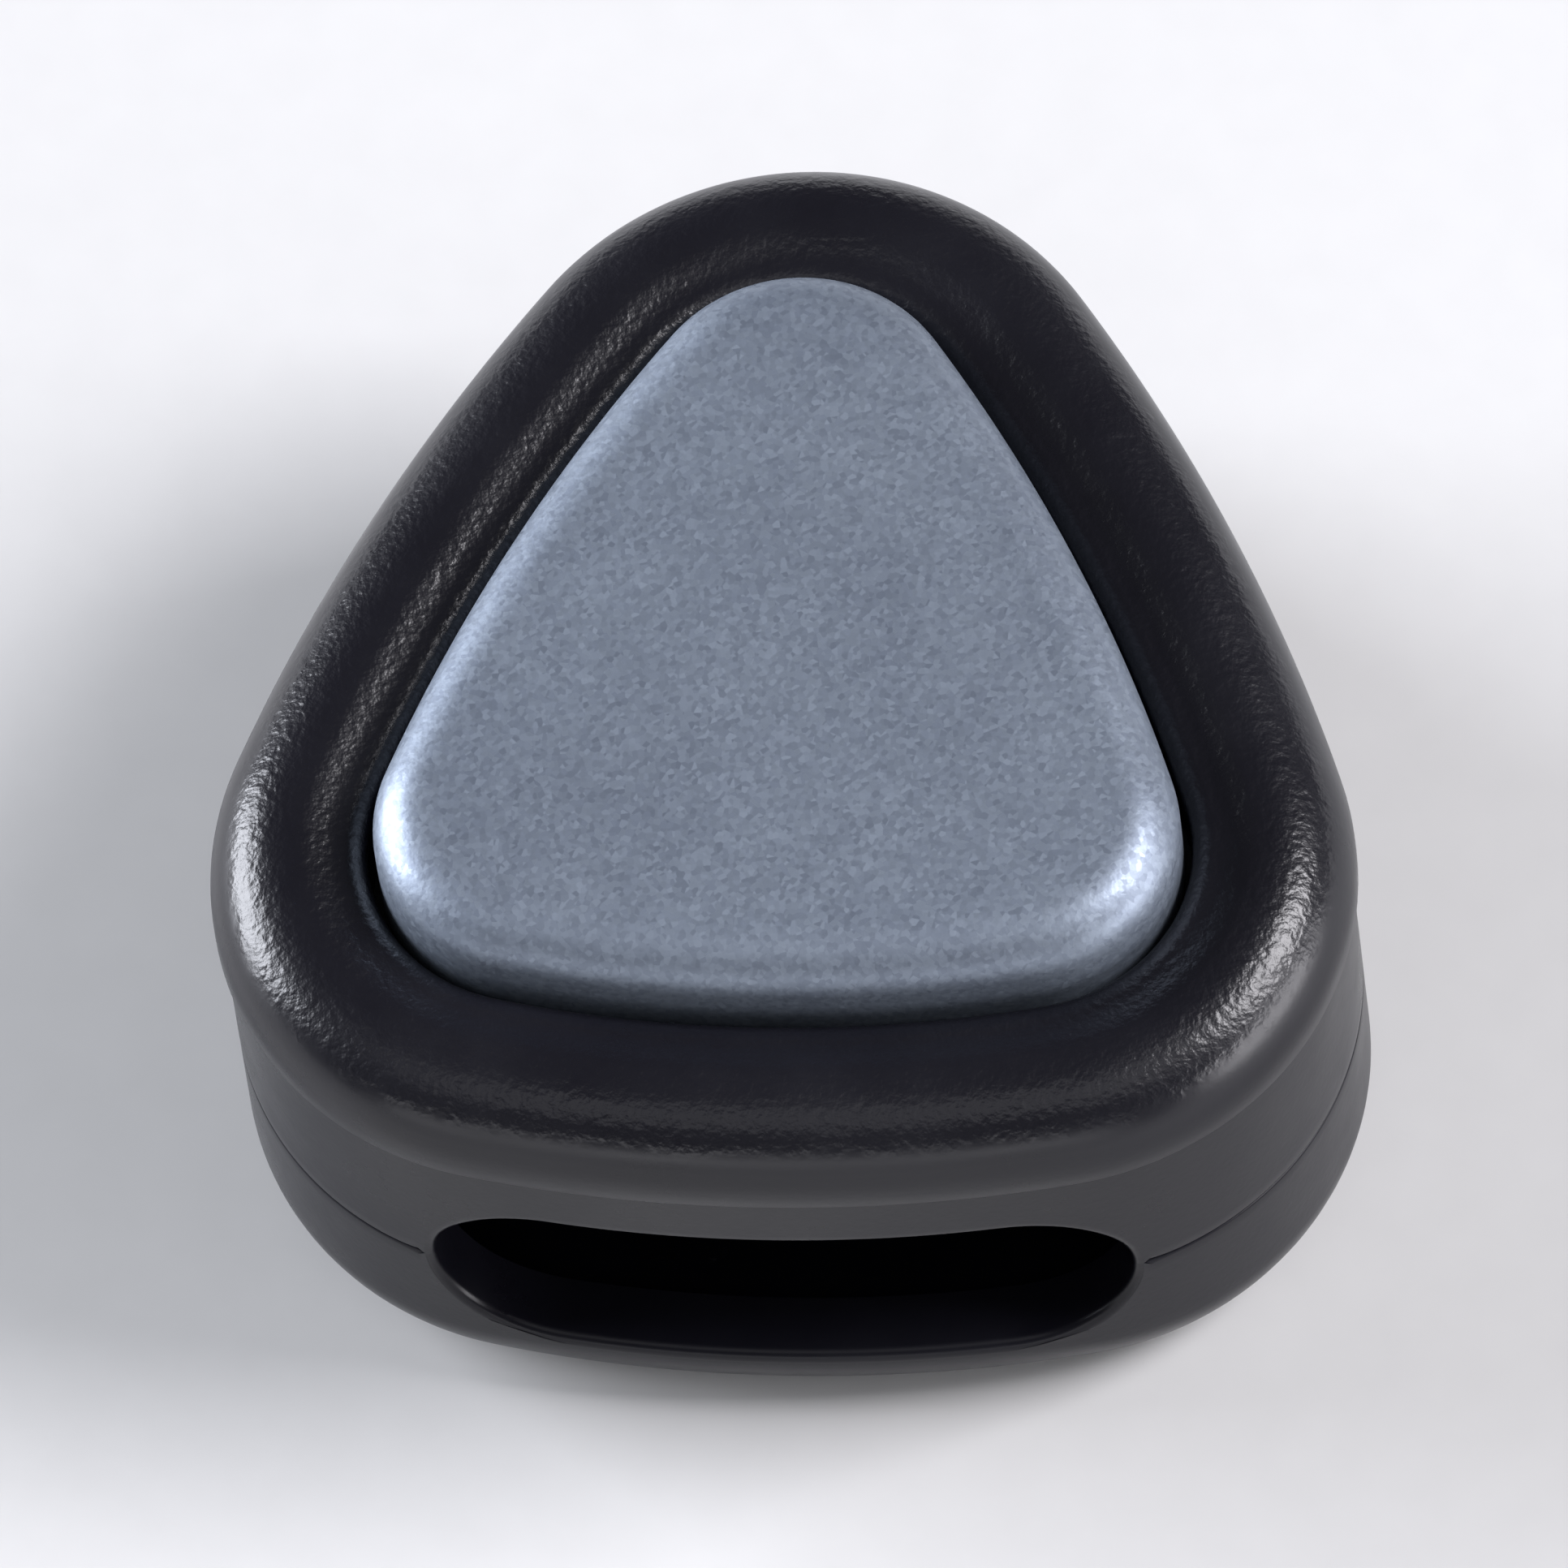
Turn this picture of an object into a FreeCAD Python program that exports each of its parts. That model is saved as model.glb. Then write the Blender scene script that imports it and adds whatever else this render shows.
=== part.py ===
import FreeCAD, Part
import math
import os

# Cord lock: a spring-loaded button in a rounded-triangle housing that grips two strands
# of 3 mm drawcord side by side. Sizes are in millimetres.
#
# The lock lies on its flat back. Z = 0 is the back face and +Z points out through the
# button, the cords leave at -Y and enter at the nose, +Y. The origin is the middle of the
# back face.
#
# Every outline in the lock is the same rounded triangle grown or shrunk: three corner
# discs joined by three long tangent arcs. The button's outline is growth zero.

# outline of the button
corner_x = 4.2              # lower corner discs, left and right of the middle
corner_radius = 2.9
nose_rise = 8.0             # from the lower disc centres up to the nose disc centre
side_arc_radius = 34.6
base_arc_radius = 23.7

# housing
rim_width = 3.0             # from the button's outline out to the housing's
housing_depth = 10.0        # back face to the crest of the lip
wall = 1.3                  # from the lip's outline in to the cavity
floor_thickness = 1.2
lip_radius = 1.5            # outer edge of the lip
lip_depth = 1.9             # from the crest down to the small step where the lip ends
side_inset = 0.12           # the side walls stand this far in from the lip
crest_width = 0.15
dish_depth = 0.15           # the lip slopes down this far before its inner edge
inner_edge_radius = 0.45    # where the lip rolls over into the button opening
roof_thickness = 1.85
back_edge_radius = 1.8
opening_clearance = 0.15    # between the button and its opening

# cord slots, which the seam between the two shells halves
slot_bottom = 2.1
slot_height = 4.4
exit_slot_width = 12.3
entry_slot_width = 7.2

# lap joint between the shells
tongue_height = 0.8
tongue_thickness = 0.6
tongue_clearance = 0.04

# button and plunger, drawn at rest
travel = 2.2
pressed_spring_height = 0.6  # between floor and plate with the button fully in
button_proud = 1.4          # button top above the crest of the lip
button_edge_radius = 1.1
cap_thickness = 0.9
skirt_length = 2.8
shoulder_gap = 0.05         # shoulders under the roof at rest
carriage_clearance = 0.2
passage_height = 3.5
passage_width = 8.6
plate_thickness = 0.9
post_end_y = 2.6            # the posts stop here so that the nose end stays open
plate_end_y = 7.95          # the plate stops this far from the middle, clear of both slots
collar_inset = 0.05
head_fit = 0.02

# conical spring between the rear shell's floor and the plate
wire_diameter = 0.45
spring_large_radius = 3.6
spring_small_radius = 1.9
spring_turns = 3.25
spring_seat_radius = 4.05
spring_seat_width = 0.7
spring_seat_height = 0.4
spring_boss_radius = 1.45
spring_boss_height = 0.35

# places worked out from the sizes above
base_centre_rise = math.sqrt((base_arc_radius - corner_radius) ** 2 - corner_x ** 2)
base_drop = base_arc_radius - base_centre_rise
corner_y = -(nose_rise + corner_radius - base_drop) / 2.0
nose_y = corner_y + nose_rise
reach = 40.0                # longer than anything it cuts

seam_z = slot_bottom + slot_height / 2.0
opening_z = housing_depth - dish_depth
ceiling_z = opening_z - roof_thickness
plate_bottom = floor_thickness + pressed_spring_height + travel
plate_top = plate_bottom + plate_thickness
passage_top = plate_top + passage_height
shoulder_z = ceiling_z - shoulder_gap
cap_top = housing_depth + button_proud
cap_ceiling = cap_top - cap_thickness
skirt_z = cap_top - skirt_length
cavity_growth = rim_width - wall
side_growth = rim_width - side_inset


def side_arc_centre():
    """Centre of the right side's arc, which touches the lower right and nose discs inside."""
    from_corner = side_arc_radius - corner_radius
    run_x = -corner_x
    run_y = nose_rise
    chord = math.hypot(run_x, run_y)
    rise = math.sqrt(from_corner ** 2 - (chord / 2.0) ** 2)
    x = corner_x + run_x / 2.0 - rise * run_y / chord
    y = corner_y + run_y / 2.0 + rise * run_x / chord
    return x, y


def arc(centre, radius, start, end, z):
    """Arc edge about a centre, anticlockwise between two angles in radians."""
    points = []
    for angle in (start, (start + end) / 2.0, end):
        x = centre[0] + radius * math.cos(angle)
        y = centre[1] + radius * math.sin(angle)
        points.append(FreeCAD.Vector(x, y, z))
    return Part.Arc(*points).toShape()


def outline(growth, z):
    """The lock's rounded triangle, grown outwards by growth, as a wire at height z."""
    right = (corner_x, corner_y)
    left = (-corner_x, corner_y)
    nose = (0.0, nose_y)
    base = (0.0, corner_y + base_centre_rise)
    right_side = side_arc_centre()
    left_side = (-right_side[0], right_side[1])
    base_turn = math.atan2(right[1] - base[1], right[0] - base[0])
    low_turn = math.atan2(right[1] - right_side[1], right[0] - right_side[0])
    high_turn = math.atan2(nose[1] - right_side[1], nose[0] - right_side[0])
    small = corner_radius + growth
    side = side_arc_radius + growth
    edges = [
        arc(right, small, base_turn, low_turn, z),
        arc(right_side, side, low_turn, high_turn, z),
        arc(nose, small, high_turn, math.pi - high_turn, z),
        arc(left_side, side, math.pi - high_turn, math.pi - low_turn, z),
        arc(left, small, math.pi - low_turn, math.pi - base_turn, z),
        arc(base, base_arc_radius + growth, -math.pi - base_turn, base_turn, z),
    ]
    return Part.Wire(edges)


def prism(growth, low, high):
    """Straight-sided solid of the outline between two heights."""
    face = Part.Face(outline(growth, low))
    return face.extrude(FreeCAD.Vector(0, 0, high - low))


def frustum(low_growth, low, high_growth, high):
    """Solid between two outlines of different growth."""
    return Part.makeLoft([outline(low_growth, low), outline(high_growth, high)], True, True)


def cylinder(radius, low, high):
    return Part.makeCylinder(radius, high - low, FreeCAD.Vector(0, 0, low))


def box(x0, x1, y0, y1, z0, z1):
    return Part.makeBox(x1 - x0, y1 - y0, z1 - z0, FreeCAD.Vector(x0, y0, z0))


def round_edges(shape, radius, wanted):
    """Rounds the edges for which wanted(edge) holds."""
    edges = [edge for edge in shape.Edges if wanted(edge)]
    return shape.makeFillet(radius, edges)


def follows(growth, z):
    """Test for the edges that run along the outline of a given growth at height z."""
    wire = outline(growth, z)

    def test(edge):
        return all(wire.distToShape(vertex)[0] < 1e-3 for vertex in edge.Vertexes)
    return test


def slot(width, start_y, end_y):
    """Cutter for a cord slot with half-round ends, along Y."""
    radius = slot_height / 2.0
    half = width / 2.0 - radius
    length = end_y - start_y
    along = FreeCAD.Vector(0, 1, 0)
    cutter = box(-half, half, start_y, end_y, slot_bottom, slot_bottom + slot_height)
    for x in (-half, half):
        end = Part.makeCylinder(radius, length, FreeCAD.Vector(x, start_y, seam_z), along)
        cutter = cutter.fuse(end)
    return cutter.removeSplitter()


def cord_slots():
    """Wide exit at -Y for both strands and a narrower entry through the nose."""
    return slot(exit_slot_width, -reach, 0.0).fuse(slot(entry_slot_width, 0.0, reach))


def front_shell():
    """Open-bottomed cover with the rolled lip, the dish and the button opening."""
    lip = prism(rim_width, housing_depth - lip_depth, housing_depth)
    lip = round_edges(lip, lip_radius, follows(rim_width, housing_depth))
    body = prism(side_growth, seam_z, housing_depth - lip_depth + 0.1).fuse(lip)
    crest_growth = rim_width - lip_radius - crest_width
    dish = frustum(opening_clearance, opening_z, crest_growth, housing_depth)
    body = body.cut(dish)
    body = body.cut(prism(opening_clearance, ceiling_z - 1.0, housing_depth))
    body = round_edges(body, inner_edge_radius, follows(opening_clearance, opening_z))
    body = body.cut(prism(cavity_growth, seam_z - 1.0, ceiling_z))
    rebate_growth = cavity_growth + tongue_thickness + tongue_clearance
    rebate_top = seam_z + tongue_height + tongue_clearance
    body = body.cut(prism(rebate_growth, seam_z - 1.0, rebate_top))
    return body.cut(cord_slots())


def rear_shell():
    """Flat-backed cup with the tongue, the spring's seat ring and the rear half of the slots."""
    body = prism(side_growth, 0.0, seam_z)
    body = round_edges(body, back_edge_radius, follows(side_growth, 0.0))
    tongue = prism(cavity_growth + tongue_thickness, seam_z - 1.0, seam_z + tongue_height)
    body = body.fuse(tongue)
    body = body.cut(prism(cavity_growth, floor_thickness, reach))
    seat_top = floor_thickness + spring_seat_height
    seat = cylinder(spring_seat_radius + spring_seat_width, floor_thickness, seat_top)
    seat = seat.cut(cylinder(spring_seat_radius, floor_thickness, seat_top))
    return body.fuse(seat).cut(cord_slots()).removeSplitter()


def plunger():
    """Plate under the cords, two posts beside them, and the head that carries the button."""
    growth = cavity_growth - carriage_clearance
    half = passage_width / 2.0
    carriage = prism(growth, plate_bottom, shoulder_z)
    carriage = carriage.cut(box(-half, half, -reach, reach, plate_top, reach))
    carriage = carriage.cut(box(-reach, reach, post_end_y, reach, plate_top, reach))
    carriage = carriage.cut(box(-half, half, -reach, -plate_end_y, 0.0, reach))
    carriage = carriage.cut(box(-reach, reach, plate_end_y, reach, 0.0, reach))
    collar = prism(-collar_inset, shoulder_z - 0.5, skirt_z)
    head = prism(-cap_thickness - head_fit, skirt_z - 0.2, cap_ceiling)
    head = collar.fuse(head)
    head = head.cut(box(-half, half, -reach, reach, 0.0, passage_top))
    head = head.cut(box(-reach, reach, post_end_y, reach, 0.0, passage_top))
    boss = cylinder(spring_boss_radius, plate_bottom - spring_boss_height, plate_bottom)
    return carriage.fuse([head, boss]).removeSplitter()


def button_cap():
    """Satin cap that is pressed over the plunger's head."""
    body = prism(0.0, skirt_z, cap_top)
    body = round_edges(body, button_edge_radius, follows(0.0, cap_top))
    return body.cut(prism(-cap_thickness, skirt_z - 1.0, cap_ceiling))


def spring():
    """Conical wire spring whose turns nest inside one another when it is pressed flat."""
    wire_radius = wire_diameter / 2.0
    low = floor_thickness + wire_radius
    high = plate_bottom - wire_radius
    spread = spring_large_radius - spring_small_radius
    slant = math.hypot(high - low, spread)
    taper = math.degrees(math.atan2(spread, high - low))
    helix = Part.makeHelix(slant / spring_turns, slant, spring_small_radius, taper)
    start = FreeCAD.Vector(spring_small_radius, 0, 0)
    section = Part.Wire(Part.makeCircle(wire_radius, start, FreeCAD.Vector(0, 1, 0)))
    coil = Part.Wire(helix.Edges).makePipeShell([section], True, True)
    coil.rotate(FreeCAD.Vector(0, 0, 0), FreeCAD.Vector(1, 0, 0), 180)
    coil.translate(FreeCAD.Vector(0, 0, high))
    return coil


pieces = {
    "front_shell": front_shell,
    "rear_shell": rear_shell,
    "button_cap": button_cap,
    "plunger": plunger,
    "spring": spring,
}

os.makedirs("parts", exist_ok=True)
for name, make in pieces.items():
    shape = make()
    if shape.ShapeType == "Compound" and len(shape.Solids) == 1:
        shape = shape.Solids[0]
    size = shape.optimalBoundingBox()
    print(name, shape.ShapeType, "valid", shape.isValid(), "solids", len(shape.Solids),
          "volume %.1f" % shape.Volume,
          "box %.2f %.2f %.2f to %.2f %.2f %.2f" % (
              size.XMin, size.YMin, size.ZMin, size.XMax, size.YMax, size.ZMax))
    shape.exportStep("parts/%s.step" % name)
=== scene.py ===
import bmesh
import bpy
import numpy as np
from mathutils import Matrix, Vector


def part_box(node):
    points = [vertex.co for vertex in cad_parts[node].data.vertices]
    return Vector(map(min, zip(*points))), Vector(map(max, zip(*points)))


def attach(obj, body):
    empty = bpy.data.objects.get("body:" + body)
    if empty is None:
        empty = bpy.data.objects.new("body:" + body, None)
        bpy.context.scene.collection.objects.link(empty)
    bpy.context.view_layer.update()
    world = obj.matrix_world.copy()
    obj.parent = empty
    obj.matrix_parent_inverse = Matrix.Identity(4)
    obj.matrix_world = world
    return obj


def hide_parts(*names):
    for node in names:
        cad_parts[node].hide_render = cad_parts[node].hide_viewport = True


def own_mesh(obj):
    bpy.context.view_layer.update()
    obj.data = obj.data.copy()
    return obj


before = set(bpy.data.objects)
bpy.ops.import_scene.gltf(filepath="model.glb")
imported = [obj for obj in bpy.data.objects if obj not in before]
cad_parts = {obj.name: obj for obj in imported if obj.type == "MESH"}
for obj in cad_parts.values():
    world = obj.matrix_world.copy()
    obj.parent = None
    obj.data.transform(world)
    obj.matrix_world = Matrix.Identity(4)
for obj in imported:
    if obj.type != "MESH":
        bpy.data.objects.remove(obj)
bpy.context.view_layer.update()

# A push-button cord lock lying on its back. Sizes are in millimetres and turn into metres
# where a mesh is made. z = 0 is the back face, the cords leave at -y and enter at the nose.
mm = 0.001


def heights(node):  # lowest and highest z of a CAD node
    low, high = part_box(node)
    return low.z / mm, high.z / mm


seam, crest = heights("front_shell")
tongueTop = heights("rear_shell")[1]
skirt, capTop = heights("button_cap")
springFoot, springHead = heights("spring")
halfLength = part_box("front_shell")[1].y / mm
print("frame loaded: seam", round(seam, 2), "crest", round(crest, 2))


# The outline that every piece shares.
outline = {
    "cornerX": 4.2,       # centres of the two lower corner discs, either side of the middle
    "corner": 2.9,        # radius of all three corner discs on the button
    "noseRise": 8.0,      # from the lower disc centres up to the nose disc centre
    "sideArc": 34.6,      # radii of the long arcs between the discs
    "baseArc": 23.7,
    "rim": 3.0,           # growth from the button's outline to the housing's
}
rim = outline["rim"]


def outlineArcs(s):
    # Three discs joined by long arcs that touch them from inside: a long arc's centre is
    # (long radius - disc radius) from both of its disc centres. Gives the facing angle
    # at which each of the seven arcs ends, anticlockwise from -y, with centres and radii.
    x, r, rise = s["cornerX"], s["corner"], s["noseRise"]
    y = halfLength - s["rim"] - r - rise
    baseRise = np.sqrt((s["baseArc"] - r) ** 2 - x ** 2)
    chord = np.hypot(x, rise)
    reach = np.sqrt((s["sideArc"] - r) ** 2 - (chord / 2) ** 2)
    sideX = x / 2 - reach * rise / chord
    sideY = y + rise / 2 - reach * x / chord
    low = np.arctan2(y - sideY, x - sideX)
    high = np.arctan2(y + rise - sideY, -sideX)
    base = np.arctan2(-baseRise, x)
    ends = np.array([base, low, high, np.pi - high, np.pi - low, np.pi - base])
    centres = np.array([(0, y + baseRise), (x, y), (sideX, sideY), (0, y + rise),
                        (-sideX, sideY), (-x, y), (0, y + baseRise)])
    radii = np.array([s["baseArc"], r, s["sideArc"], r, s["sideArc"], r, s["baseArc"]])
    return ends, centres, radii


arcEnds, arcCentres, arcRadii = outlineArcs(outline)


def outlinePoint(theta, growth):
    # centre of the arc that faces theta, plus (its radius + growth) along theta
    k = np.searchsorted(arcEnds, theta)
    r = arcRadii[k] + growth
    return arcCentres[k, 0] + r * np.cos(theta), arcCentres[k, 1] + r * np.sin(theta)


def evenTheta(fraction, start, end, growth):
    # facing angle a fraction of the way along the outline between two facing angles
    theta = np.linspace(start, end, 4000)
    x, y = outlinePoint(theta, growth)
    along = np.r_[0, np.cumsum(np.hypot(np.diff(x), np.diff(y)))]
    return np.interp(fraction, along / along[-1], theta)


def thetaOfX(x, growth, atNose):
    # facing angle where the right half of an outline is x wide: arccos((x - centre) / radius)
    # on the arc next to the middle, or on the one after it where x lies past their joint
    near, far, joint, sign = (3, 2, arcEnds[2], 1) if atNose else (0, 1, arcEnds[0], -1)
    first, second = (sign * np.arccos(np.clip(
        (x - arcCentres[arc, 0]) / (arcRadii[arc] + growth), -1, 1)) for arc in (near, far))
    return np.where(sign * first >= sign * joint, first, second)


# Meshes from grids of points.
def signedVolume(points, faces):
    # sum over each face's two triangles of (a . (b x c)) / 6
    a, b, c, d = (points[faces[:, k]] for k in range(4))
    return sum(np.einsum("ij,ij->i", a, np.cross(*pair)) for pair in ((b, c), (c, d))).sum() / 6


def gridFaces(high, wide, closeRows):
    # quads (i,j) (i,j+1) (i+1,j+1) (i+1,j) of a grid that is high by wide points, where
    # point (i,j) is number i * wide + j and the last column joins the first
    i = np.arange(high if closeRows else high - 1)[:, None]
    j = np.arange(wide)[None, :]
    corners = [(i, j), (i, j + 1), (i + 1, j + 1), (i + 1, j)]
    return np.stack([((r % high) * wide + c % wide).ravel() for r, c in corners], 1)


def makePiece(name, grids, material, sharpDegrees=32):
    # Each grid is (points[rows, columns, 3] in mm, whether the last row joins the first,
    # how polished each row is from 0 to 1). A grid whose volume is negative is turned out.
    allPoints, allFaces, allPolish, start = [], [], [], 0
    for points, closeRows, polish in grids:
        high, wide = points.shape[:2]
        flat = points.reshape(-1, 3)
        faces = gridFaces(high, wide, closeRows)
        if signedVolume(flat, faces) < 0:
            faces = faces[:, ::-1]
        allPoints.append(flat)
        allFaces.append(faces + start)
        allPolish.append(np.repeat(np.broadcast_to(polish, high), wide))
        start += len(flat)
    mesh = bpy.data.meshes.new(name)
    metres = np.concatenate(allPoints) * mm
    mesh.from_pydata(metres.tolist(), [], np.concatenate(allFaces).tolist())
    rowPolish = mesh.attributes.new("polish", "FLOAT", "POINT")
    rowPolish.data.foreach_set("value", np.concatenate(allPolish))
    mergeDoubles(mesh, 0.0004 * mm)
    mesh.polygons.foreach_set("use_smooth", [True] * len(mesh.polygons))
    mesh.set_sharp_from_angle(angle=np.radians(sharpDegrees))
    mesh.materials.append(material)
    piece = bpy.data.objects.new(name, mesh)
    bpy.context.scene.collection.objects.link(piece)
    print("made", name, len(mesh.polygons), "faces")
    return piece


def mergeDoubles(mesh, distance):
    # points closer than the distance become one, which closes the grids' seams and poles
    work = bmesh.new()
    work.from_mesh(mesh)
    bmesh.ops.remove_doubles(work, verts=work.verts, dist=distance)
    bmesh.ops.dissolve_degenerate(work, dist=distance, edges=work.edges)
    work.to_mesh(mesh)
    work.free()


def mirrored(right):
    # the right half's columns followed by their mirror images in x, ends not repeated
    left = right[:, -2:0:-1] * np.array([-1, 1, 1])
    return np.concatenate([right, left], 1)


def ring(theta, growth, z):  # one row of points: the outline of a growth at height z
    x, y = outlinePoint(theta, growth)
    return np.stack([x, y, np.broadcast_to(z, x.shape)], -1)


def disc(theta, growth, z, shares, sag=0.0):
    # rows (share * outline, z - sag * share^2) from the pole, share 0, outwards
    x, y = outlinePoint(theta, growth)
    return [np.stack([x * s, y * s, np.full_like(x, z - sag * s * s)], -1) for s in shares]


# The two shells, whose rims climb round the cord slots.
shell = {
    "wall": 1.3,
    "floor": 1.2,
    "floorFillet": 0.3,       # inside, between floor and wall
    "lipRadius": 1.5,         # outside of the rolled lip
    "lipDepth": 1.9,          # from the crest to the small step where the lip ends
    "lipStep": 0.12,          # the wall stands this far in from the lip
    "lipEdge": 0.06,
    "crestWidth": 0.15,
    "dishDepth": 0.15,        # from the lip's crest down to its inner edge
    "innerEdge": 0.45,        # radius where the lip rolls over into the button opening
    "clearance": 0.15,        # round the button
    "roof": 1.85,
    "backRadius": 1.8,
    "exitWidth": 12.3,
    "entryWidth": 7.2,
    "slotHeight": 4.4,
    "slotEdge": 0.2,          # rounding of the slots' outer edges
    "seamEdge": 0.07,         # rounding that leaves the fine groove along the seam
    "tongue": 0.6,            # thickness of the rear shell's tongue
    "tonguePlay": 0.04,
    "tongueEdge": 0.1,
    "flatColumns": 16,        # grid columns on a slot's edge, its round end and the seam
    "endColumns": 22,
    "seamColumns": 130,
}


def shellColumns(s):
    # Right half, from the middle of the base to the nose: the exit slot's straight edge, its
    # round end, the seam, the entry slot's round end and its straight edge. Each column has
    # the x that its slot turns about, the turn about it, and its share of the way along the seam.
    r = s["slotHeight"] / 2
    exitFlat, entryFlat = s["exitWidth"] / 2 - r, s["entryWidth"] / 2 - r
    turns = np.linspace(np.pi / 2, 0, s["endColumns"] + 1)[1:]
    straight = np.linspace(0, 1, s["flatColumns"])
    share = np.linspace(0, 1, s["seamColumns"] + 2)[1:-1]
    pivot = np.r_[straight * exitFlat, np.full(len(turns), exitFlat), share * 0,
                  np.full(len(turns), entryFlat), straight[::-1] * entryFlat]
    turn = np.r_[straight * 0 + np.pi / 2, turns, share * 0, turns[::-1], straight * 0 + np.pi / 2]
    count = len(straight) + len(turns)
    kind = np.r_[np.zeros(count), np.ones(len(share)), np.full(count, 2)].astype(int)
    along = np.r_[np.zeros(count), share, np.ones(count)]
    exitEnd = thetaOfX(s["exitWidth"] / 2, rim, False)
    entryEnd = thetaOfX(s["entryWidth"] / 2, rim, True)
    theta = np.r_[evenTheta(np.linspace(0, 1, count), -np.pi / 2, exitEnd, rim),
                  evenTheta(share, exitEnd, entryEnd, rim),
                  evenTheta(np.linspace(0, 1, count), entryEnd, np.pi / 2, rim)]
    return {"pivot": pivot, "turn": turn, "kind": kind, "along": along, "theta": theta,
            "exitEnd": exitEnd, "entryEnd": entryEnd}


posts = shellColumns(shell)
side = rim - shell["lipStep"]  # growth of the side walls
# the seam's small edge radius grows into the slots' as exp(-70 * share of the way along it)
nearSlot = np.exp(-np.minimum(posts["along"], 1 - posts["along"]) * 70)
edgeRadius = np.where(posts["kind"] == 1,
                      shell["seamEdge"] + (shell["slotEdge"] - shell["seamEdge"]) * nearSlot,
                      shell["slotEdge"])


def rimRow(growth, spread, way):
    # Facing angle and height of the rim on the wall of a growth. In a slot it follows the
    # stadium (pivot + (r + spread) cos turn, seam + way (r + spread) sin turn), and between
    # the slots it runs along the seam, way * spread from it. way is 1 above, -1 below.
    c, r = posts, shell["slotHeight"] / 2
    spread = np.broadcast_to(spread, c["turn"].shape)
    slotSpread = np.full_like(spread, spread[0])
    x = c["pivot"] + (r + spread) * np.cos(c["turn"])
    exitTheta = thetaOfX(shell["exitWidth"] / 2 + slotSpread, growth, False)
    entryTheta = thetaOfX(shell["entryWidth"] / 2 + slotSpread, growth, True)
    share = (c["theta"] - c["exitEnd"]) / (c["entryEnd"] - c["exitEnd"])
    seamTheta = exitTheta + (entryTheta - exitTheta) * share
    theta = np.select([c["kind"] == 0, c["kind"] == 2],
                      [thetaOfX(x, growth, False), thetaOfX(x, growth, True)], seamTheta)
    inSlot = c["kind"] != 1
    z = seam + way * np.where(inSlot, (r + spread) * np.sin(c["turn"]), spread)
    return theta, z


def wallRows(growth, startTheta, startZ, endTheta, endZ, count):
    # straight blend, on one wall, between two rows of facing angles and heights
    shares = np.linspace(0, 1, count)
    return [ring(startTheta + (endTheta - startTheta) * t, growth, startZ + (endZ - startZ) * t)
            for t in shares]


def rimRounding(way):
    # quarter round from the wall into the rim: spread r(1 - sin a), depth r(1 - cos a)
    rows = []
    for a in np.linspace(0, np.pi / 2, 6):
        growth = side - edgeRadius * (1 - np.cos(a))
        theta, z = rimRow(growth, edgeRadius * (1 - np.sin(a)), way)
        rows.append(ring(theta, growth, z))
    return rows


def frontShellRows(s):
    # one closed section, from the opening's bore over dish and lip, down the wall to the rim
    # and back up the cavity and along the ceiling; each row is an outline or a rim
    theta = posts["theta"]
    opening = s["clearance"]
    openingZ = crest - s["dishDepth"]
    ceiling = openingZ - s["roof"]
    crestGrowth = rim - s["lipRadius"] - s["crestWidth"]
    cavity = rim - s["wall"]
    rows = []
    # bore of the opening, then the edge that rolls over into it
    e = s["innerEdge"]
    for z in np.linspace(ceiling, openingZ - e, 4):
        rows.append(ring(theta, opening, z))
    for a in np.linspace(0, np.pi / 2, 9)[1:]:
        rows.append(ring(theta, opening + e * (1 - np.cos(a)), openingZ - e * (1 - np.sin(a))))
    # dish: falls from the crest by depth * t^2 (3 - 2t), t running from the crest to that edge
    width = crestGrowth - opening - e
    for t in np.linspace(1, 0, 12)[1:]:
        fall = s["dishDepth"] * t * t * (3 - 2 * t)
        rows.append(ring(theta, crestGrowth - width * t, crest - fall))
    # lip: quarter round out to the wall
    r = s["lipRadius"]
    lipTurn = np.linspace(0, 1, 25)
    polish = [0] * len(rows)
    for a in lipTurn * np.pi / 2:
        rows.append(ring(theta, rim - r + r * np.sin(a), crest - r * (1 - np.cos(a))))
    polish += lipTurn.tolist()
    low, e = crest - s["lipDepth"], s["lipEdge"]
    for a in np.linspace(0, np.pi / 2, 4):
        rows.append(ring(theta, rim - e * (1 - np.cos(a)), low + e * (1 - np.sin(a))))
    endTheta, endZ = rimRow(side, edgeRadius, 1)
    rows += wallRows(side, theta, low, endTheta, endZ, 16)
    rows += rimRounding(1)[1:]
    # rebate for the rear shell's tongue: it is cut up from the seam, and stops in the slots
    rebate = cavity + s["tongue"] + s["tonguePlay"]
    low, z = rimRow(rebate, 0.0, 1)
    rows.append(ring(low, rebate, z))
    step = np.maximum(z, tongueTop + s["tonguePlay"])
    rows.append(ring(low, rebate, step))
    inner, _ = rimRow(cavity, 0.0, 1)
    rows.append(ring(inner, cavity, step))
    rows += wallRows(cavity, inner, step, theta, ceiling, 8)[1:]
    for g in np.linspace(cavity, opening, 5)[1:-1]:
        rows.append(ring(theta, g, ceiling))
    polish += [1] * (len(rows) - len(polish))
    return mirrored(np.stack(rows)), True, polish


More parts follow.
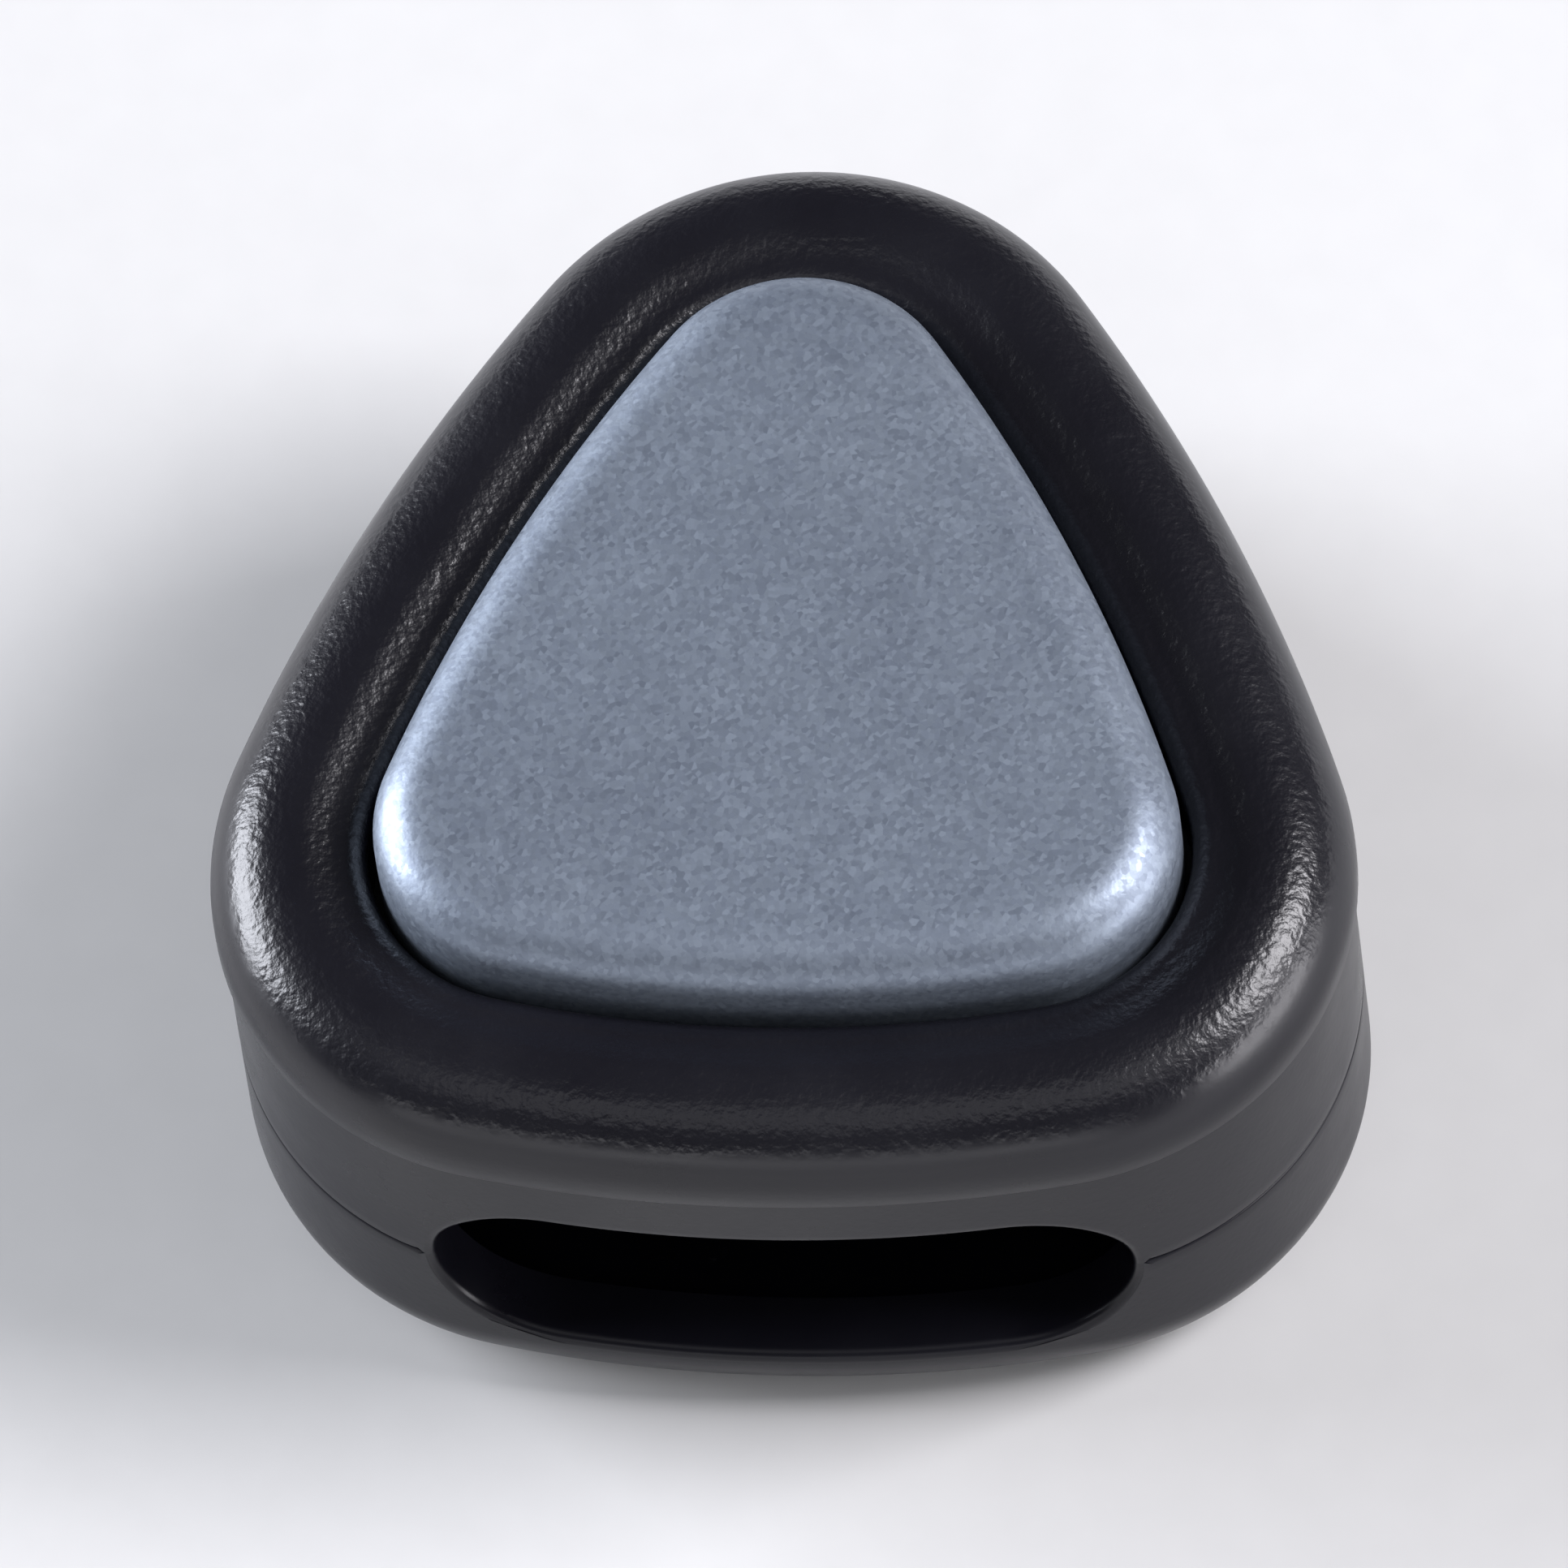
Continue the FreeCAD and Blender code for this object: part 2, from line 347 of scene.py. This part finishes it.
def rearShellRows(s):
    # from the middle of the back round its edge, up the wall to the rim, over the tongue and
    # down the cavity to the middle of the floor; each row is an outline or a rim
    theta = posts["theta"]
    cavity = rim - s["wall"]
    r = s["backRadius"]
    rows = disc(theta, side - r, 0.0, (0, 0.15, 0.4, 0.7, 0.9))
    backTurn = np.linspace(0, 1, 20)
    polish = [0] * len(rows) + backTurn.tolist()
    for a in backTurn * np.pi / 2:
        rows.append(ring(theta, side - r + r * np.sin(a), r * (1 - np.cos(a))))
    endTheta, endZ = rimRow(side, edgeRadius, -1)
    rows += wallRows(side, theta, r, endTheta, endZ, 10)[1:]
    rows += rimRounding(-1)[1:]
    # tongue, absent in the slots
    outer = cavity + s["tongue"]
    low, z = rimRow(outer, 0.0, -1)
    rows.append(ring(low, outer, z))
    top = np.where(posts["kind"] == 1, tongueTop, z)
    bevel = np.where(posts["kind"] == 1, s["tongueEdge"], 0.0)
    rows.append(ring(low, outer, top - bevel))
    rows.append(ring(low, outer - bevel, top))
    inner, _ = rimRow(cavity, 0.0, -1)
    rows.append(ring(inner, cavity + bevel, top))
    rows.append(ring(inner, cavity, top - bevel))
    e, floor = s["floorFillet"], s["floor"]
    rows += wallRows(cavity, inner, top - bevel, theta, floor + e, 12)[1:]
    for a in np.linspace(0, np.pi / 2, 5)[1:]:
        rows.append(ring(theta, cavity - e * (1 - np.cos(a)), floor + e * (1 - np.sin(a))))
    rows += disc(theta, cavity - e, floor, (0.85, 0.6, 0.3, 0))
    polish += [1] * (len(rows) - len(polish))
    return mirrored(np.stack(rows)), False, polish


def revolved(profile, count):
    # closed profile of (radius, z) turned about z
    turn = np.linspace(0, 2 * np.pi, count, endpoint=False)
    radius, z = profile[:, :1], profile[:, 1:]
    return np.stack([radius * np.cos(turn), radius * np.sin(turn), z + 0 * turn], -1)


springSeat = {"inner": 4.05, "width": 0.7, "height": 0.4, "edge": 0.1, "sunk": 0.02}


def springSeatGrid(s):
    # low ring on the floor that keeps the spring's wide end in place
    a = np.linspace(0, np.pi / 2, 4)
    base, top = shell["floor"] - s["sunk"], shell["floor"] + s["height"]
    outer, e = s["inner"] + s["width"], s["edge"]
    profile = np.r_[[(s["inner"], base), (outer, base)],
                    np.c_[outer - e + e * np.cos(a), top - e + e * np.sin(a)],
                    np.c_[s["inner"] + e - e * np.sin(a), top - e + e * np.cos(a)]]
    return revolved(profile, 96), True, 1


# The button's cap, hollow underneath.
cap = {
    "crown": 0.18,            # the top face falls this much from its middle to its edge
    "edge": 1.1,              # how far in from the side the top's rounding starts
    "thickness": 0.9,
    "lowEdge": 0.12,
    "columns": 420,
}


def capGrid(s):
    # domed top, quarter ellipse (e sin a, (e - crown)(1 - cos a)), side, low edge, hollow
    theta = evenTheta(np.linspace(0, 1, s["columns"], endpoint=False), -np.pi / 2, 1.5 * np.pi, 0.0)
    e, low = s["edge"], s["lowEdge"]
    rows = disc(theta, -e, capTop, np.linspace(0, 1, 14)[:-1], s["crown"])
    top = capTop - s["crown"]
    for a in np.linspace(0, np.pi / 2, 18):
        rows.append(ring(theta, e * (np.sin(a) - 1), top - (e - s["crown"]) * (1 - np.cos(a))))
    for z in np.linspace(capTop - e, skirt + low, 8)[1:]:
        rows.append(ring(theta, 0.0, z))
    for a in np.linspace(0, np.pi / 2, 5)[1:]:
        rows.append(ring(theta, -low * (1 - np.cos(a)), skirt + low * (1 - np.sin(a))))
    rows.append(ring(theta, -s["thickness"], skirt))
    rows.append(ring(theta, -s["thickness"], capTop - s["thickness"]))
    rows += disc(theta, -s["thickness"], capTop - s["thickness"], (0.8, 0.4, 0))
    return np.stack(rows), False, 1


# The return spring.
coil = {
    "wire": 0.45,
    "large": 3.6,             # radius of the wire's middle at the foot and at the head
    "small": 1.9,
    "turns": 3.25,
    "ease": 0.55,             # how flat the end turns lie, from 0 to 1
    "pressed": 0.6,           # height between floor and plate with the button fully in
    "steps": 420,
    "sides": 20,
}


def coilGrid(s):
    # Tube about the path (R cos a, -R sin a, z), R shrinking evenly with the angle a and z
    # rising as t - ease sin(2 pi t) / (2 pi), so that the end turns lie flat.
    t = np.linspace(0, 1, s["steps"])
    a = 2 * np.pi * s["turns"] * t
    radius = s["large"] + (s["small"] - s["large"]) * t
    low, high = springFoot + s["wire"] / 2, springHead - s["wire"] / 2
    eased = t - np.sin(2 * np.pi * t) / (2 * np.pi) * s["ease"]
    path = np.stack([radius * np.cos(a), -radius * np.sin(a), low + (high - low) * eased], -1)
    along = np.gradient(path, axis=0)
    along /= np.linalg.norm(along, axis=1, keepdims=True)
    outward = np.stack([np.cos(a), -np.sin(a), 0 * a], -1)
    up = np.cross(along, outward)
    up /= np.linalg.norm(up, axis=1, keepdims=True)
    outward = np.cross(up, along)
    turn = np.linspace(0, 2 * np.pi, s["sides"], endpoint=False)[None, :, None]
    tube = path[:, None] + s["wire"] / 2 * (
        np.cos(turn) * outward[:, None] + np.sin(turn) * up[:, None])
    ends = [np.repeat(path[k][None, None], s["sides"], 1) for k in (0, -1)]
    return np.concatenate([ends[0], tube, ends[1]]), False, 1


# Materials.
def linear(text):
    # sRGB hex to linear: c / 12.92 below 0.04045, else ((c + 0.055) / 1.055)^2.4
    c = np.array([int(text[k:k + 2], 16) for k in (1, 3, 5)]) / 255
    return (*np.where(c <= 0.04045, c / 12.92, ((c + 0.055) / 1.055) ** 2.4), 1.0)


def addNode(tree, kind, settings=None, links=None):
    # a node with its settings, by attribute or by socket, and its inputs' links
    node = tree.nodes.new(kind)
    for key, value in (settings or {}).items():
        if isinstance(key, str) and hasattr(node, key):
            setattr(node, key, value)
        else:
            node.inputs[key].default_value = value
    for key, (source, output) in (links or {}).items():
        tree.links.new(source.outputs[output], node.inputs[key])
    return node


def newMaterial(name):  # a material whose node tree is empty, and the tree
    material = bpy.data.materials.new(name)
    material.use_nodes = True
    tree = material.node_tree
    tree.nodes.clear()
    return material, tree


def finishMaterial(tree, settings, links):  # the shader and the output it goes to
    shader = addNode(tree, "ShaderNodeBsdfPrincipled", settings, links)
    addNode(tree, "ShaderNodeOutputMaterial", None, {"Surface": (shader, "BSDF")})


def perMetre(size):  # texture scale whose cells are this many millimetres: 1 / metres
    return 1 / (size * mm)


def sparkErodedAcetal():
    # Black acetal from a tool that is spark eroded inside the lip and smooth outside it:
    # near black, with 0.15 mm pebbles that break highlights into specks, fading raggedly
    # into smooth walls with half the sheen and a few pale rubbed marks.
    material, tree = newMaterial("sparkErodedBlackAcetal")
    where = addNode(tree, "ShaderNodeTexCoord")
    polish = addNode(tree, "ShaderNodeAttribute", {"attribute_name": "polish"})
    coarse = addNode(tree, "ShaderNodeTexNoise",
                     {"Scale": perMetre(0.5), "Detail": 3.0, "Roughness": 0.6},
                     {"Vector": (where, "Object")})
    ragged = addNode(tree, "ShaderNodeMath", {"operation": "MULTIPLY_ADD", 1: 0.30},
                     {0: (coarse, "Fac"), 2: (polish, "Fac")})
    grained = addNode(tree, "ShaderNodeMapRange",
                      {"interpolation_type": "SMOOTHSTEP", "From Min": 0.57, "From Max": 0.74,
                       "To Min": 1.0, "To Max": 0.10},
                      {"Value": (ragged, "Value")})
    pebble = addNode(tree, "ShaderNodeTexNoise",
                     {"Scale": perMetre(0.15), "Detail": 2.0, "Roughness": 0.5},
                     {"Vector": (where, "Object")})
    relief = addNode(tree, "ShaderNodeMath", {"operation": "MULTIPLY"},
                     {0: (pebble, "Fac"), 1: (grained, "Result")})
    bump = addNode(tree, "ShaderNodeBump", {"Strength": 1.0, "Distance": 0.022 * mm},
                   {"Height": (relief, "Value")})
    handled = addNode(tree, "ShaderNodeTexNoise",
                      {"Scale": perMetre(3.5), "Detail": 5.0, "Roughness": 0.62},
                      {"Vector": (where, "Object")})
    roughness = addNode(tree, "ShaderNodeMapRange",
                        {"From Min": 0.3, "From Max": 0.7, "To Min": 0.25, "To Max": 0.36},
                        {"Value": (handled, "Fac")})
    rub = addNode(tree, "ShaderNodeTexNoise",
                  {"Scale": perMetre(0.9), "Detail": 8.0, "Roughness": 0.75, "Distortion": 0.6},
                  {"Vector": (where, "Object")})
    rubbed = addNode(tree, "ShaderNodeMapRange",
                     {"interpolation_type": "SMOOTHSTEP", "From Min": 0.66, "From Max": 0.78,
                      "To Max": 0.22},
                     {"Value": (rub, "Fac")})
    sheen = addNode(tree, "ShaderNodeMapRange",
                    {"From Min": 0.75, "To Min": 0.5, "To Max": 0.25},
                    {"Value": (polish, "Fac")})
    black = addNode(tree, "ShaderNodeMix",
                    {"data_type": "RGBA", "A": linear("#0d0c12"), "B": linear("#13131a")},
                    {0: (handled, "Fac")})
    tint = addNode(tree, "ShaderNodeMix", {"data_type": "RGBA", "B": linear("#6c6d72")},
                   {0: (rubbed, "Result"), "A": (black, "Result")})
    finishMaterial(tree, {"IOR": 1.48},
                   {"Base Color": (tint, "Result"), "Roughness": (roughness, "Result"),
                    "Specular IOR Level": (sheen, "Result"), "Normal": (bump, "Normal")})
    return material


def plainAcetal():
    # Black acetal from a plain ground tool: dull black with faint flow mottling.
    material, tree = newMaterial("plainBlackAcetal")
    where = addNode(tree, "ShaderNodeTexCoord")
    flow = addNode(tree, "ShaderNodeTexNoise",
                   {"Scale": perMetre(1.6), "Detail": 5.0}, {"Vector": (where, "Object")})
    tint = addNode(tree, "ShaderNodeMix",
                   {"data_type": "RGBA", "A": linear("#0f0f12"), "B": linear("#17171b")},
                   {0: (flow, "Fac")})
    roughness = addNode(tree, "ShaderNodeMapRange", {"To Min": 0.36, "To Max": 0.5},
                        {"Value": (flow, "Fac")})
    fine = addNode(tree, "ShaderNodeTexNoise",
                   {"Scale": perMetre(0.12), "Detail": 2.0}, {"Vector": (where, "Object")})
    bump = addNode(tree, "ShaderNodeBump", {"Strength": 0.3, "Distance": 0.008 * mm},
                   {"Height": (fine, "Fac")})
    finishMaterial(tree, {"IOR": 1.48},
                   {"Base Color": (tint, "Result"), "Roughness": (roughness, "Result"),
                    "Normal": (bump, "Normal")})
    return material


def pearlAcetal():
    # Grey acetal filled with fine aluminium flake: a satin blue grey with a soft metallic
    # glow, 0.1 mm lighter and darker flakes, and a faint orange-peel skin.
    material, tree = newMaterial("pearlGreyAcetal")
    where = addNode(tree, "ShaderNodeTexCoord")
    flake = addNode(tree, "ShaderNodeTexVoronoi", {"Scale": perMetre(0.10)},
                    {"Vector": (where, "Object")})
    flakeTone = addNode(tree, "ShaderNodeSeparateColor", None, {0: (flake, "Color")})
    cloud = addNode(tree, "ShaderNodeTexNoise",
                    {"Scale": perMetre(2.5), "Detail": 2.0}, {"Vector": (where, "Object")})
    mixed = addNode(tree, "ShaderNodeMath", {"operation": "MULTIPLY_ADD", 1: 0.9},
                    {0: (flakeTone, 0), 2: (cloud, "Fac")})
    tint = addNode(tree, "ShaderNodeMapRange", {"From Min": 0.2, "From Max": 1.5},
                   {"Value": (mixed, "Value")})
    colour = addNode(tree, "ShaderNodeMix",
                     {"data_type": "RGBA", "A": linear("#6f7886"), "B": linear("#88929f")},
                     {0: (tint, "Result")})
    skin = addNode(tree, "ShaderNodeTexNoise",
                   {"Scale": perMetre(0.17), "Detail": 2.0}, {"Vector": (where, "Object")})
    bump = addNode(tree, "ShaderNodeBump", {"Strength": 0.6, "Distance": 0.012 * mm},
                   {"Height": (skin, "Fac")})
    roughness = addNode(tree, "ShaderNodeMapRange", {"To Min": 0.40, "To Max": 0.53},
                        {"Value": (flakeTone, 1)})
    finishMaterial(tree, {"IOR": 1.48, "Metallic": 0.6},
                   {"Base Color": (colour, "Result"), "Roughness": (roughness, "Result"),
                    "Normal": (bump, "Normal")})
    return material


def drawnSteel():
    # Drawn stainless wire: a warm bright grey with fine streaks along its length.
    material, tree = newMaterial("drawnStainlessWire")
    where = addNode(tree, "ShaderNodeTexCoord")
    streak = addNode(tree, "ShaderNodeTexNoise",
                     {"Scale": perMetre(0.3), "Detail": 4.0}, {"Vector": (where, "Object")})
    tint = addNode(tree, "ShaderNodeMix",
                   {"data_type": "RGBA", "A": linear("#a09c95"), "B": linear("#c9c6bf")},
                   {0: (streak, "Fac")})
    roughness = addNode(tree, "ShaderNodeMapRange", {"To Min": 0.2, "To Max": 0.38},
                        {"Value": (streak, "Fac")})
    finishMaterial(tree, {"Metallic": 1.0},
                   {"Base Color": (tint, "Result"), "Roughness": (roughness, "Result")})
    return material


def studioPaper():
    # Pale matt paper with a trace of tooth.
    material, tree = newMaterial("paleStudioPaper")
    where = addNode(tree, "ShaderNodeTexCoord")
    cellsPerMetre = 900.0
    tooth = addNode(tree, "ShaderNodeTexNoise", {"Scale": cellsPerMetre, "Detail": 3.0},
                    {"Vector": (where, "Object")})
    tint = addNode(tree, "ShaderNodeMix",
                   {"data_type": "RGBA", "A": linear("#cdcdcc"), "B": linear("#d2d2d1")},
                   {0: (tooth, "Fac")})
    finishMaterial(tree, {"Roughness": 0.9}, {"Base Color": (tint, "Result")})
    return material


blackShell = sparkErodedAcetal()
blackInside = plainAcetal()
greyButton = pearlAcetal()
wireSteel = drawnSteel()
print("materials made")

frontShell = makePiece("front_cover", [frontShellRows(shell)], blackShell)
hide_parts("front_shell")
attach(frontShell, "housing")

rearShell = makePiece("rear_cover", [rearShellRows(shell), springSeatGrid(springSeat)],
                      blackShell)
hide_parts("rear_shell")
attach(rearShell, "housing")

buttonCap = makePiece("press_button", [capGrid(cap)], greyButton)
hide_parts("button_cap")
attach(buttonCap, "button")

returnSpring = makePiece("return_spring", [coilGrid(coil)], wireSteel)
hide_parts("spring")
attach(returnSpring, "housing")
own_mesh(returnSpring)

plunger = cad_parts["plunger"]
plunger.data.materials.clear()
plunger.data.materials.append(blackInside)
print("pieces joined to the frame")


# Floor, light and camera, in metres.
def makeFloor(reach):  # a square of pale paper that reaches this far from the middle
    mesh = bpy.data.meshes.new("studioFloor")
    corners = [(x * reach, y * reach, 0) for x, y in ((-1, -1), (1, -1), (1, 1), (-1, 1))]
    mesh.from_pydata(corners, [], [(0, 1, 2, 3)])
    mesh.materials.append(studioPaper())
    floor = bpy.data.objects.new("studioFloor", mesh)
    bpy.context.scene.collection.objects.link(floor)


def softbox(name, azimuth, elevation, distance, size, power, colour):
    # area light on a sphere about the lock, facing it; azimuth 0 is the -y side
    a, e = np.radians(azimuth), np.radians(elevation)
    place = Vector((np.sin(a) * np.cos(e), -np.cos(a) * np.cos(e), np.sin(e))) * distance
    data = bpy.data.lights.new(name, "AREA")
    data.shape = "RECTANGLE"
    data.size, data.size_y = size
    data.energy = power
    data.color = linear(colour)[:3]
    light = bpy.data.objects.new(name, data)
    light.location = place
    light.rotation_euler = place.to_track_quat("Z", "Y").to_euler()
    bpy.context.scene.collection.objects.link(light)


def makeWorld(colour, strength):  # the same dim light from every side
    world = bpy.data.worlds.new("paleRoom")
    world.use_nodes = True
    background = world.node_tree.nodes["Background"]
    background.inputs["Color"].default_value = linear(colour)
    background.inputs["Strength"].default_value = strength
    bpy.context.scene.world = world


view = {
    "azimuth": 10.1,
    "elevation": 62.1,
    "roll": 8.2,              # degrees that the view is turned about its middle
    "distance": 0.70,
    "across": 0.0276,         # width of the view at the lock
    "sensor": 36.0,
    "aim": (-0.00012, -0.00171, 0.00807),
}


def makeCamera(s):
    # a camera on a sphere about the aim, turned by the roll, with a lens of sensor width *
    # distance / width of the view
    a, e, roll = (np.radians(s[k]) for k in ("azimuth", "elevation", "roll"))
    back = Vector((np.sin(a) * np.cos(e), -np.cos(a) * np.cos(e), np.sin(e)))
    right = Vector((np.cos(a), np.sin(a), 0))
    up = back.cross(right)
    x = right * np.cos(roll) - up * np.sin(roll)
    y = right * np.sin(roll) + up * np.cos(roll)
    data = bpy.data.cameras.new("camera")
    data.sensor_width = s["sensor"]
    data.lens = s["sensor"] * s["distance"] / s["across"]
    camera = bpy.data.objects.new("camera", data)
    turn = Matrix((x, y, back)).transposed().to_4x4()
    camera.matrix_world = Matrix.Translation(Vector(s["aim"]) + back * s["distance"]) @ turn
    bpy.context.scene.collection.objects.link(camera)
    bpy.context.scene.camera = camera


makeFloor(3.0)
makeWorld("#eff1f8", 0.10)
# name, azimuth, elevation, distance, width and height, watts, colour
softbox("leftSoftbox", -106, 16, 0.60, (0.38, 0.33), 7.6, "#f3f6ff")
softbox("rightSoftbox", 97, 44, 0.60, (0.25, 0.24), 4.2, "#fcfaff")
softbox("rightLowSoftbox", 76, 8, 0.60, (0.46, 0.15), 2.2, "#fcfaff")
softbox("frontSoftbox", -8, 7, 0.80, (1.10, 0.17), 1.2, "#fafaff")
softbox("overheadSoftbox", 4, 66, 0.60, (0.60, 0.30), 0.42, "#fafaff")
makeCamera(view)
bpy.context.scene.view_settings.view_transform = "Standard"
print("stage, lights and camera made")
